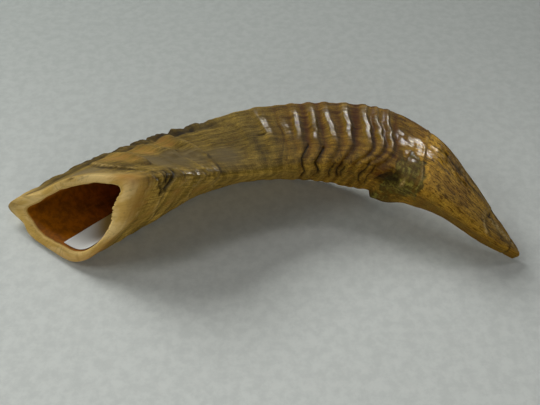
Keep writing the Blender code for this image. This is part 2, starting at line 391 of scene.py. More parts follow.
@dataclass(frozen=True)
class Fold:
    """A growth fold that rises slowly from the mouth's side and ends in a pale edge, partly painted highlight, with
    painted shade past it.
    """

    line: Line
    height: float
    before: float
    after: float
    pale: float = 0.8
    edge_width: float = 0.8
    # strength of the painted shade past the edge
    trough: float = 0.5

    def carve(self, skin: Skin) -> None:
        """Raise the fold, and mark its edge, partly painted highlight, and the painted shade past it."""
        offset, reach = self.line.offset(skin), self.line.reach(skin)
        broken = ramp(patches(skin.rows, skin.columns, (0.15, 11), 36), -0.8, 1.4)
        skin.height += self.height * ledge(offset, self.before, self.after) * reach * (0.7 + 0.3 * broken)
        # the pale edge is partly the fold's own pale horn and partly painted highlight
        skin.add(Mark.PALE, self.pale * bell(offset, self.edge_width) * reach * broken)
        # painted shade on the fold's fall past its edge
        skin.add(Mark.SHADE, self.trough * bell(offset - self.after, self.after * 0.6) * reach * broken)


@dataclass(frozen=True)
class Ridge:
    """One growth ridge over the bow, with a finer ridge on its mouth side.

    The stations are where its crest crosses the far part and the near part of the
    top face. Height and spreads are in millimetres.
    """

    far: float
    near: float
    height: float
    before: float = 2.9
    after: float = 1.5
    polish: float = 1.0
    glint: float = 70


@dataclass(frozen=True)
class Bow:
    """The growth ridges, which sweep back towards the mouth at the near keel."""

    far_angle: float = 90
    near_angle: float = 40
    sweep_angles: Points = (
        (-180, -0.1), (-90, -0.40), (-50, -0.45), (-20, -0.9), (-8, -1.0), (0, -0.85),
        (6, -0.55), (12, -0.22), (20, -0.04), (27, 0), (80, 0), (105, -0.05), (130, -0.05), (180, -0.1),
    )
    sweep_stations: Points = ((4.6, 0.2), (6.1, 0.42), (6.7, 0.42), (7.3, 0.6), (7.8, 0.8), (8.4, 0.75), (9, 0.5), (9.5, 0))
    ridges: tuple[Ridge, ...] = (
        Ridge(3.75, 3.70, 0.25, 4.0, 3.0, 0.0),
        Ridge(4.66, 4.62, 0.60, 4.0, 2.6, 0.1),
        Ridge(5.18, 5.22, 0.85, 3.6, 2.6, 0.45, 84),
        Ridge(5.72, 5.78, 0.35, 2.4, 1.6, 0.3),
        Ridge(6.10, 6.03, 0.95, 2.8, 1.6, 0.8),
        Ridge(6.57, 6.52, 1.05, 2.6, 1.5),
        Ridge(6.98, 7.09, 1.05, 3.0, 1.7, 0.9),
        Ridge(7.55, 7.58, 1.15, 3.2, 1.4),
        Ridge(8.08, 8.21, 1.15, 3.0, 1.3),
        Ridge(8.40, 8.60, 1.05, 2.3, 1.2),
        Ridge(8.72, 8.91, 1.00, 2.2, 1.2),
    )
    troughs: tuple[tuple[float, float, float, float], ...] = (
        (5.55, 5.57, 0.9, 0.35), (5.90, 5.88, 1.2, 0.3), (6.32, 6.25, 1.7, 0.9), (6.73, 6.76, 1.4, 0.8),
        (7.28, 7.32, 1.9, 0.6), (7.80, 7.75, 2.6, 1.0), (8.29, 8.34, 1.5, 0.85), (8.64, 8.76, 1.3, 0.8),
        (8.95, 9.08, 1.6, 0.85),
    )
    second_crest: float = 0.42
    second_offset: float = 2.4
    lower_strength: float = 0.6

    def line(self, skin: Skin, far: float, near: float) -> Array:
        """Give the distance from a growth line, in millimetres towards the tip.

        Args:
            skin: The grid that is carved.
            far: Station of the line on the far part of the top face.
            near: Station of the line on its near part.

        Returns:
            The distances of the grid points.
        """
        lean = np.interp(skin.columns, (self.near_angle, self.far_angle), (near, far))
        shape = np.interp(skin.columns, *zip(*self.sweep_angles))
        amount = np.interp(skin.rows, *zip(*self.sweep_stations))
        wander = patches(skin.rows, skin.columns, (0.8, 14), 5) * 0.03
        return (skin.rows - lean - shape * amount + wander) * skin.mm_down

    def carve(self, skin: Skin) -> None:
        """Raise every ridge, deepen the troughs between them, and mark both, with painted highlight on the crests and
        a red-brown tint deepened as painted shade in the troughs.
        """
        away = turn(skin.columns, 68)
        top = self.lower_strength + (1 - self.lower_strength) * bell(away, 62)
        top = top * (1 - 0.4 * bell(turn(skin.columns, 118), 16)) * (1 - 0.6 * bell(turn(skin.columns, -120), 20))
        broken = ramp(patches(skin.rows, skin.columns, (0.11, 4.5), 22), -0.9, 0.7)
        lumpy = 1 + 0.22 * patches(skin.rows, skin.columns, (0.3, 13), 21)
        for ridge in self.ridges:
            offset = self.line(skin, ridge.far, ridge.near)
            crest = ledge(offset, ridge.before, ridge.after)
            second = bell(offset + self.second_offset, 0.75) * self.second_crest
            glossy = bell(turn(skin.columns, ridge.glint), 30)
            skin.height += 1.25 * ridge.height * (crest + second * glossy) * top * lumpy
            shine = bell(offset, 1.6) + 0.9 * bell(offset + self.second_offset, 1.0)
            # the crest mark polishes the crests and also lightens them where they glint: painted highlight
            skin.add(Mark.CREST, ridge.polish * 1.7 * glossy * shine * broken)
        for far, near, width, dark in self.troughs:
            trough = bell(self.line(skin, far, near), width)
            skin.height -= 0.6 * dark * trough * top
            stain_and_shade = bell(self.line(skin, far, near), width * 1.05)
            # the trough mark is a red-brown tint deepened as painted shade
            skin.add(Mark.TROUGH, 0.95 * dark * stain_and_shade * (0.45 + 0.55 * bell(turn(skin.columns, 72), 62)))


@dataclass(frozen=True)
class Cracks:
    """The open cracks where the rings meet the near keel, and the fine lines beside them."""

    creases: tuple[Crease, ...] = (
        Crease(RingLine(((-84, 6.12), (-15, 6.02), (0, 5.89), (8, 5.93), (15, 6.06), (24, 6.23))), 1.5, 0.55),
        Crease(RingLine(((-88, 6.58), (-34, 6.62), (-12, 6.5), (2, 6.36), (10, 6.54), (18, 6.7))), 1.9, 0.75),
        Crease(RingLine(((-76, 7.2), (-30, 7.0), (-8, 6.93), (2, 7.05), (8, 7.25))), 1.0, 0.5, 0.85),
        Crease(RingLine(((-74, 7.49), (-30, 7.28), (-8, 7.2), (0, 7.3))), 1.2, 0.6, 0.95),
        Crease(RingLine(((-70, 7.6), (-20, 7.39), (-4, 7.42), (2, 7.6))), 0.9, 0.5, 0.8),
        Crease(RingLine(((-80, 8.37), (-30, 8.12), (-10, 8.08), (2, 8.25))), 1.1, 0.6, 0.95),
        Crease(RingLine(((-74, 8.62), (-30, 8.45), (-12, 8.42), (0, 8.5)), 6, 3), 0.7, 0.45, 0.7),
        Crease(RingLine(((-84, 6.36), (-40, 6.33), (-16, 6.28)), 6, 3), 0.5, 0.4, 0.6),
        Crease(RingLine(((8, 5.24), (24, 5.44), (45, 5.60), (60, 5.60), (76, 5.56), (88, 5.51))), 0.35, 0.3, 0.35),
        Crease(LongLine(((4.9, 63), (5.05, 61))), 0.7, 0.5, 0.9),
    )

    def carve(self, skin: Skin) -> None:
        """Cut every crack."""
        for crease in self.creases:
            crease.carve(skin)


@dataclass(frozen=True)
class BaseFolds:
    """The folds over the wide base: terraces on the top face, bands on the lower face."""

    folds: tuple[Fold, ...] = (
        Fold(
            RingLine(((4, 3.06), (16, 3.18), (33, 3.21), (54, 3.2), (75, 3.12), (93, 3.02), (110, 2.96)), 6, 3),
            2.9, 5.5, 1.7, 0.13, 1.9, 0.75,
        ),
        Fold(
            RingLine(((8, 2.66), (28, 2.62), (54, 2.52), (78, 2.4), (92, 2.36), (102, 2.31)), 6, 3),
            2.5, 5.0, 1.8, 0.11, 1.9, 0.70,
        ),
        Fold(RingLine(((28, 1.28), (46, 1.37), (70, 1.56), (92, 1.61), (105, 1.58)), 6, 3), 2.3, 4.5, 1.8, 0.11, 1.9, 0.70),
        Fold(RingLine(((-94, 1.53), (-48, 1.17), (-26, 1.19), (-12, 1.26), (-4, 1.45)), 6, 2), 1.0, 4.5, 1.4, 0.35, 1.5, 0.45),
        Fold(RingLine(((-84, 2.57), (-50, 2.36), (-16, 2.34), (-3, 2.5), (4, 2.89)), 6, 2), 1.5, 4.0, 1.3, 0.35, 1.4, 0.7),
        Fold(RingLine(((-60, 3.2), (-32, 3.04), (-6, 2.96), (3, 3.15)), 6, 2), 0.9, 3.0, 1.2, 0.25, 1.2, 0.55),
        Fold(RingLine(((-100, 0.55), (-60, 0.45), (-30, 0.42), (-12, 0.45)), 6, 2), 0.3, 3.2, 1.6, 0.3, 1.2, 0.1),
        Fold(RingLine(((-100, 2.05), (-50, 1.75), (-20, 1.72), (-6, 1.9)), 6, 2), 0.3, 3.2, 1.2, 0.3, 1.2, 0.2),
    )
    ledge_line: RingLine = RingLine(((4, 0.84), (14, 0.76), (28, 0.64), (40, 0.54), (52, 0.54), (70, 0.72), (88, 0.94), (100, 1.07)))
    ledge_drop: float = 1.2
    golden: tuple[tuple[float, float, float, float], ...] = (
        (1.12, 60, 0.28, 30), (1.35, 84, 0.2, 18), (2.05, 80, 0.26, 26), (2.75, 92, 0.24, 18), (0.4, -40, 0.35, 46), (0.2, -118, 0.3, 40),
        (1.0, -70, 0.3, 30), (1.75, -40, 0.22, 34), (2.75, -50, 0.3, 30),
    )
    grey: tuple[tuple[float, float, float, float], ...] = (
        (1.75, 36, 0.45, 26), (2.35, 36, 0.35, 28), (2.9, 38, 0.28, 26), (0.3, 60, 0.3, 26), (3.7, 30, 0.5, 22),
    )

    def carve(self, skin: Skin) -> None:
        """Raise the folds, drop the skin on the rim's side of the ledge, and tint both."""
        for fold in self.folds:
            fold.carve(skin)
        offset, reach = self.ledge_line.offset(skin), self.ledge_line.reach(skin)
        drop = 1 - ramp(offset, -0.7, 1.4)
        skin.height -= self.ledge_drop * drop * reach * ramp(-offset + 9, 0, 9)
        ragged = ramp(patches(skin.rows, skin.columns, (0.05, 5), 35), -0.7, 1.0)
        skin.add(Mark.PALE, 0.6 * bell(offset - 0.9, 0.7) * reach * ragged)
        skin.add(Mark.CRACK, 0.9 * bell(offset + 0.7, 0.6) * reach * ragged)
        for mark, spots in ((Mark.GOLD, self.golden), (Mark.GREY, self.grey)):
            for station, angle, length, width in spots:
                hump = bell(skin.rows - station, length) * bell(turn(skin.columns, angle), width)
                skin.add(mark, hump)
                if mark is Mark.GOLD and angle > 0:
                    skin.height += 0.45 * hump


@dataclass(frozen=True)
class FarKeel:
    """The beaded far keel of the base and the ragged dark groove beside it."""

    end: float = 4.4
    groove_line: Points = ((0, 103), (0.6, 103), (1.8, 104), (2.4, 107), (3.1, 109), (4.4, 109))
    groove_depth: float = 1.6
    groove_width: float = 2.0
    bead_pitch: float = 0.44
    bead_depth: float = 1.7

    def carve(self, skin: Skin) -> None:
        """Cut the groove and the notches between the beads."""
        fade = 1 - ramp(skin.rows, self.end - 0.9, 0.9)
        line = LongLine(self.groove_line)
        offset = line.offset(skin)
        ragged = 0.75 + 0.4 * patches(skin.rows, skin.columns, (0.11, 12), 31)
        cut = bell(offset, self.groove_width) * fade
        skin.height -= self.groove_depth * cut * (0.7 + 0.3 * ragged)
        # grime and painted shade in the groove
        skin.add(Mark.CRACK, cut * ragged * 1.1)
        warped = skin.rows + 0.12 * patches(skin.rows, skin.columns, (0.4, 180), 33)
        beat = (0.5 + 0.5 * np.cos(2 * np.pi * warped / self.bead_pitch)) ** 3
        side = bell(turn(skin.columns, 118), 11)
        skin.height -= self.bead_depth * beat * side * fade
        # grime and painted shade between the beads
        skin.add(Mark.CRACK, 0.6 * beat * side * fade * (0.6 + 0.4 * ragged))
        skin.add(Mark.SHADE, bell(turn(skin.columns, 119), 14) * fade * (0.8 + 0.2 * ragged))
        crumple = patches(skin.rows, skin.columns, (0.055, 12), 37) * bell(turn(skin.columns, 117), 13) * fade
        skin.height += 0.7 * crumple
        skin.add(Mark.CRACK, 1.1 * np.clip(-crumple - 0.1, 0, 1))
        skin.add(Mark.PALE, 0.45 * np.clip(crumple - 0.35, 0, 1))


@dataclass(frozen=True)
class NearWrinkles:
    """The wrinkles and V-shaped cracks across the near keel beside the mouth."""

    creases: tuple[Crease, ...] = (
        Crease(RingLine(((-24, 1.10), (-15, 1.13), (-6, 1.07), (2, 1.17)), 8, 3), 2.4, 1.1, 1.0),
        Crease(RingLine(((-18, 1.23), (-12, 1.24), (-5, 1.28), (3, 1.50)), 8, 3), 2.6, 1.3, 1.0),
        Crease(RingLine(((-20, 1.06), (-10, 0.80), (-3, 0.62)), 7, 4), 1.5, 0.8, 0.8),
        Crease(RingLine(((-15, 0.40), (-6, 0.38)), 8, 5), 0.4, 0.4, 0.3),
        Crease(RingLine(((-16, 0.86), (-6, 0.94), (2, 0.90)), 6, 5), 0.9, 0.5, 0.55),
        Crease(RingLine(((-8, 1.75), (6, 1.8)), 4, 4), 0.5, 0.4, 0.5),
        Crease(RingLine(((-7, 2.3), (7, 2.36)), 4, 4), 0.4, 0.4, 0.4),
    )
    sparkle_height: float = 0.4

    def carve(self, skin: Skin) -> None:
        """Cut the wrinkles and roughen the keel between them."""
        for crease in self.creases:
            crease.carve(skin)
        zone = window(skin.rows, (0.15, 3.4), 0.3) * bell(turn(skin.columns, -4), 14)
        fine = patches(skin.rows, skin.columns, (0.06, 9), 41) * zone
        skin.height += self.sparkle_height * fine * (1 + bell(skin.rows - 0.8, 0.6))
        skin.add(Mark.CRACK, 0.9 * np.clip(-fine - 0.25, 0, 1))
        skin.add(Mark.GLOSS, 1.8 * np.clip(fine + 0.05, 0, 1))
        orange = bell(skin.rows, 0.35) * bell(turn(skin.columns, 4), 14)
        skin.add(Mark.GOLD, 0.9 * orange)


@dataclass(frozen=True)
class Scar:
    """The flaked olive scar near the tip, its dark hollow, and the lump that hangs below it."""

    middle: tuple[float, float] = (9.58, -20)
    size: tuple[float, float] = (0.46, 66)
    depth: float = 0.9
    hollow: tuple[float, float] = (9.08, -18)
    hollow_size: tuple[float, float] = (0.34, 20)
    hollow_depth: float = 2.6
    lump_span: tuple[float, float] = (9.0, 9.95)
    lump_height: float = 4.2
    lump_angle: float = -97
    lump_spread: float = 26
    lump_crest: float = 0.4
    softness: float = 0.12
    edge: float = 0.25

    def carve(self, skin: Skin) -> None:
        """Sink the scar and the hollow, and raise the lump."""
        uneven = patches(skin.rows, skin.columns, (0.17, 30), 51)
        uneven = uneven + 0.5 * patches(skin.rows, skin.columns, (0.07, 8), 52)
        flat = np.hypot((skin.rows - self.middle[0]) / self.size[0], turn(skin.columns, self.middle[1]) / self.size[1])
        scar = 1 - ramp(flat + 0.42 * uneven, 1 - self.edge, self.edge)
        skin.height -= self.depth * scar * (0.85 + 0.35 * uneven)
        skin.add(Mark.OLIVE, scar)
        tilt = (skin.rows - self.hollow[0]) / self.hollow_size[0] - turn(skin.columns, self.hollow[1]) / 90
        pit = np.hypot(tilt, turn(skin.columns, self.hollow[1]) / self.hollow_size[1])
        pit = 1 - ramp(pit + 0.2 * uneven, 0.7, 0.6)
        skin.height -= self.hollow_depth * pit
        # grime and painted shade in the hollow
        skin.add(Mark.CRACK, pit * (0.85 + 0.3 * uneven))
        crest_end = self.lump_span[0] + self.lump_crest
        fall = 1 - ramp(skin.rows, crest_end, self.lump_span[1] - crest_end)
        rise = ramp(skin.rows, self.lump_span[0], self.softness)
        lump = rise * fall * bell(turn(skin.columns, self.lump_angle), self.lump_spread)
        skin.height += self.lump_height * lump
        skin.add(Mark.OLIVE, 1.3 * lump)
        skin.add(Mark.SHADE, 0.6 * lump)
        slit = bell((skin.rows - 9.53) * 25, 0.9) * bell(turn(skin.columns, -11), 8)
        skin.add(Mark.PALE, 0.8 * slit)
        skin.add(Mark.GLOSS, slit)
        red = bell(skin.rows - 8.75, 0.3) * bell(turn(skin.columns, -10), 22)
        skin.add(Mark.TROUGH, 0.9 * red)


@dataclass(frozen=True)
class Spike:
    """The smooth tip: its cross ridge, long grooves, crescent step and pale rib."""

    creases: tuple[Crease, ...] = (
        Crease(LongLine(((9.05, 88), (9.33, 79), (9.62, 68)), 4), 0.45, 0.35, 0.4),
        Crease(LongLine(((9.0, 76), (9.3, 66), (9.6, 55)), 4), 0.3, 0.3, 0.2),
        Crease(LongLine(((9.75, 52), (10.21, 58), (10.73, 66)), 4), 0.5, 0.35, 0.3),
        Crease(LongLine(((9.8, 60), (10.3, 66), (10.8, 73)), 4), 0.3, 0.3, 0.2),
        Crease(LongLine(((10.05, 99), (10.19, 100), (10.57, 99), (10.78, 96)), 5, 4), 0.7, 0.9, 0.7),
        Crease(LongLine(((10.3, 92), (10.5, 91), (10.65, 90)), 5, 4), 0.5, 0.6, 0.4),
        Crease(LongLine(((10.98, 95), (11.18, 96), (11.4, 99)), 5, 4), 0.7, 0.8, 0.7),
        Crease(LongLine(((10.7, 82), (10.9, 82), (11.1, 84)), 5, 4), 0.4, 0.45, 0.3),
        Crease(RingLine(((74, 11.84), (84, 11.83), (94, 11.84))), 1.0, 0.75, 1.0),
        Crease(LongLine(((11.9, 88), (12.1, 64), (12.35, 34)), 5), 0.5, 0.8, 0.45),
        Crease(RingLine(((-180, 12.72), (0, 12.68), (90, 12.76), (180, 12.72))), 0.5, 0.45, 0.8),
    )
    cross_ridge: RingLine = RingLine(((10, 9.93), (22, 9.85), (40, 9.76), (68, 9.72), (86, 9.69), (116, 9.66)))
    crescent: RingLine = RingLine(((4, 11.98), (8, 11.96), (20, 11.86), (36, 11.77), (72, 11.74), (98, 11.77), (116, 11.8)))
    step: float = 0.9
    gloss: tuple[tuple[float, float, float, float], ...] = (
        (9.17, 70, 0.18, 18), (9.55, 66, 0.22, 18), (9.48, 40, 0.16, 12), (9.95, 70, 0.22, 14),
        (10.25, 75, 0.4, 13), (10.7, 78, 0.4, 11), (10.1, 97, 0.2, 8), (11.7, 80, 0.12, 14),
    )

    def carve(self, skin: Skin) -> None:
        """Carve the tip's lines and leave its glossy patches, with painted highlight on the glossy strands and painted
        shade after the crescent step and beside the rib.
        """
        for crease in self.creases:
            crease.carve(skin)
        offset, reach = self.cross_ridge.offset(skin), self.cross_ridge.reach(skin)
        broken = ramp(patches(skin.rows, skin.columns, (0.4, 9), 62), -0.8, 1.2)
        skin.height += 0.45 * ledge(offset, 0.9, 0.6) * reach
        skin.height -= 0.3 * bell(offset - 1.6, 0.8) * reach
        skin.add(Mark.PALE, 0.5 * bell(offset, 0.5) * reach * broken)
        offset, reach = self.crescent.offset(skin), self.crescent.reach(skin)
        recovery = 1 - ramp(offset, 2.5, 9)
        skin.height -= self.step * ramp(offset, -0.4, 1.0) * recovery * reach
        skin.add(Mark.PALE, 0.6 * bell(offset + 1.0, 1.2) * reach)
        # painted shade in the hollow after the crescent step
        skin.add(Mark.SHADE, 0.8 * bell(offset - 1.2, 1.2) * reach)
        middle = np.interp(skin.rows, (11.8, 12.2, 12.6, 13.0), (72, 64, 58, 50))
        rib = bell(turn(skin.columns, middle), 16) * window(skin.rows, (11.8, 12.95), 0.15)
        skin.height += 0.4 * rib
        skin.add(Mark.PALE, 0.9 * rib)
        beside = bell(turn(skin.columns, middle - 34), 16) * window(skin.rows, (11.9, 12.8), 0.3)
        # painted shade in the concave beside the rib
        skin.add(Mark.SHADE, 0.7 * beside)
        skin.add(Mark.SHADE, 0.15 * ramp(skin.rows, 12.65, 0.15))
        edge = bell(turn(skin.columns, 103), 7) * window(skin.rows, (10.3, 11.8), 0.4)
        skin.add(Mark.PALE, 0.35 * edge)
        pitted = ramp(patches(skin.rows, skin.columns, (0.09, 6), 63), 0.0, 0.5)
        streaked = bell(turn(skin.columns, 96), 8) * window(skin.rows, (9.8, 11.5), 0.4)
        skin.add(Mark.SHADE, 0.55 * pitted * streaked)
        skin.height -= 0.35 * pitted * streaked
        for station, angle, length, width in self.gloss:
            spot = bell(skin.rows - station, length) * bell(turn(skin.columns, angle), width)
            flake = patches(skin.rows, skin.columns, (0.13, 9), 64)
            skin.height += 0.22 * flake * spot
            skin.add(Mark.GLOSS, 1.5 * spot * ramp(flake, -0.35, 0.5))
        flutes = patches(skin.rows, skin.columns, (1.6, 5), 61) * window(skin.rows, (9.2, 12.9), 0.6)
        skin.height += 0.16 * flutes
        strands = patches(skin.rows, skin.columns, (0.35, 4.2), 65)
        strands = strands * window(skin.rows, (9.7, 11.4), 0.3) * bell(turn(skin.columns, 82), 14)
        skin.height += 0.3 * strands
        skin.add(Mark.GLOSS, 2.5 * np.clip(strands, 0, 1))
        # painted highlight: the glossy strands are also paled
        skin.add(Mark.PALE, 0.9 * np.clip(strands - 0.15, 0, 1))


@dataclass(frozen=True)
class Weathering:
    """Low unevenness all over, and the long fibres of the middle stretch."""

    fibre_height: float = 0.12
    swell_height: float = 0.25
    sag: Points = (
        (0.3, 0.0), (1.0, 0.4), (3.0, 0.6), (4.0, 0.0), (6.1, 0.0), (6.6, 0.6), (7.0, 1.6), (8.0, 2.4), (8.6, 1.4), (9.0, 0.0),
    )

    def carve(self, skin: Skin) -> None:
        """Roughen the skin a little, along its length more than around it."""
        fibres = patches(skin.rows, skin.columns, (1.1, 2.2), 71)
        finer = patches(skin.rows, skin.columns, (0.7, 4.2), 72)
        middle = window(skin.rows, (2.2, 6.2), 1.0)
        skin.height += self.fibre_height * (0.3 + middle) * (0.6 * fibres + 0.6 * finer)
        skin.height += self.swell_height * patches(skin.rows, skin.columns, (0.7, 45), 73)
        sag = np.interp(skin.rows, *zip(*self.sag)) * bell(turn(skin.columns, -120), 16)
        skin.height += sag
        skin.height -= 1.3 * bell(turn(skin.columns, 0), 9) * window(skin.rows, (2.4, 6.2), 0.9)
        base = 1 - ramp(skin.rows, 2.6, 1.5)
        skin.height += (0.08 + 0.12 * base) * patches(skin.rows, skin.columns, (0.12, 8), 74)
        skin.height += 0.12 * base * patches(skin.rows, skin.columns, (0.05, 5), 75)


class Desk:
    """Adds and wires the nodes of one material."""

    def __init__(self, name: str) -> None:
        """Start a material with a Principled shader.

        Args:
            name: The material's name.
        """
        self.material: Material = bpy.data.materials.new(name)
        self.material.use_nodes = True
        self.tree = self.material.node_tree
        self.shader: Node = self.tree.nodes["Principled BSDF"]

    def add(self, kind: str, inputs: dict | None = None, **settings: object) -> Node:
        """Add a node.

        Args:
            kind: The node's type without its ShaderNode prefix.
            inputs: Values or sockets for its inputs, by name or index.
            **settings: The node's own settings.

        Returns:
            The node.
        """
        node = self.tree.nodes.new("ShaderNode" + kind)
        for name, value in settings.items():
            setattr(node, name, value)
        for name, value in (inputs or {}).items():
            self.feed(node.inputs[name], value)
        return node

    def feed(self, socket: NodeSocket, value: object) -> None:
        """Give an input a socket's output or a plain value."""
        if isinstance(value, NodeSocket):
            self.tree.links.new(value, socket)
        elif isinstance(value, tuple) and len(value) == 3 and socket.type == "RGBA":
            socket.default_value = (*value, 1.0)
        else:
            socket.default_value = value

    def mark(self, mark: Mark) -> NodeSocket:
        """Read one of the carving's marks."""
        return self.add("Attribute", attribute_name=mark.value).outputs["Fac"]

    def vector(self, name: str) -> NodeSocket:
        """Read a vector attribute."""
        return self.add("Attribute", attribute_name=name).outputs["Vector"]

    def stretch(self, vector: NodeSocket, scale: Colour, shift: Colour = (0, 0, 0)) -> NodeSocket:
        """Scale a pattern's coordinates, and shift them after that."""
        inputs = {"Vector": vector, "Scale": scale, "Location": shift}
        return self.add("Mapping", inputs).outputs["Vector"]

    def noise(self, vector: NodeSocket, scale: float, detail: float = 3, rough: float = 0.55) -> NodeSocket:
        """Give a noise between 0 and 1."""
        inputs = {"Vector": vector, "Scale": scale, "Detail": detail, "Roughness": rough}
        return self.add("TexNoise", inputs).outputs["Fac"]

    def maths(self, operation: str, first: object, second: object = 0.0) -> NodeSocket:
        """Work out one sum, held between 0 and 1."""
        return self.add("Math", {0: first, 1: second}, operation=operation, use_clamp=True).outputs[0]

    def remap(self, value: object, low: float, high: float, start: float = 0.0, end: float = 1.0) -> NodeSocket:
        """Carry a range of values over to another, with smooth ends."""
        inputs = {"Value": value, "From Min": low, "From Max": high, "To Min": start, "To Max": end}
        return self.add("MapRange", inputs, interpolation_type="SMOOTHSTEP").outputs["Result"]

    def blend(self, share: object, first: object, second: object, kind: str = "MIX") -> NodeSocket:
        """Mix two colours.

        Args:
            share: How much of the second colour there is.
            first: The first colour.
            second: The second colour.
            kind: Blender's name for the way of mixing.

        Returns:
            The mixed colour.
        """
        node = self.add("Mix", data_type="RGBA", blend_type=kind)
        self.feed(node.inputs["Factor"], share)
        self.feed(node.inputs["A"], first)
        self.feed(node.inputs["B"], second)
        return next(output for output in node.outputs if output.type == "RGBA")

    def bump(self, height: object, strength: float, distance: float, normal: NodeSocket | None = None) -> NodeSocket:
        """Turn a height into a tilted normal, over another one if it is given."""
        node = self.add("Bump", {"Height": height, "Strength": strength, "Distance": distance})
        if normal is not None:
            self.feed(node.inputs["Normal"], normal)
        return node.outputs["Normal"]

    def finish(self, **sockets: object) -> Material:
        """Feed the shader's inputs, whose names have underscores for spaces.

        Args:
            **sockets: Values or sockets by input name.

        Returns:
            The material.
        """
        for name, value in sockets.items():
            self.feed(self.shader.inputs[name.replace("_", " ")], value)
        return self.material


class HornPatterns:
    """The patterns that the horn's colours share, with scales per millimetre."""

    def __init__(self, desk: Desk) -> None:
        """Add the patterns.

        Args:
            desk: The material's desk.
        """
        grain = desk.vector("grain")
        self.fibres = desk.noise(desk.stretch(grain, (0.065, 1.05, 1.05)), 1.0, 5, 0.68)
        self.strands = desk.noise(desk.stretch(grain, (0.035, 0.42, 0.42)), 1.0, 3, 0.6)
        self.dashes = desk.noise(desk.stretch(grain, (0.20, 1.1, 1.1)), 1.0, 4, 0.65)
        self.bands = desk.noise(desk.stretch(grain, (0.24, 0.03, 0.03)), 1.0, 3, 0.6)
        self.blotch = desk.noise(grain, 0.09, 3)
        self.mottle = desk.noise(grain, 0.5, 4, 0.65)
        self.speck = desk.noise(grain, 1.5, 2, 0.6)
        place = desk.add("SeparateXYZ", {"Vector": grain})
        self.down = place.outputs["X"]
        self.height = place.outputs["Z"]


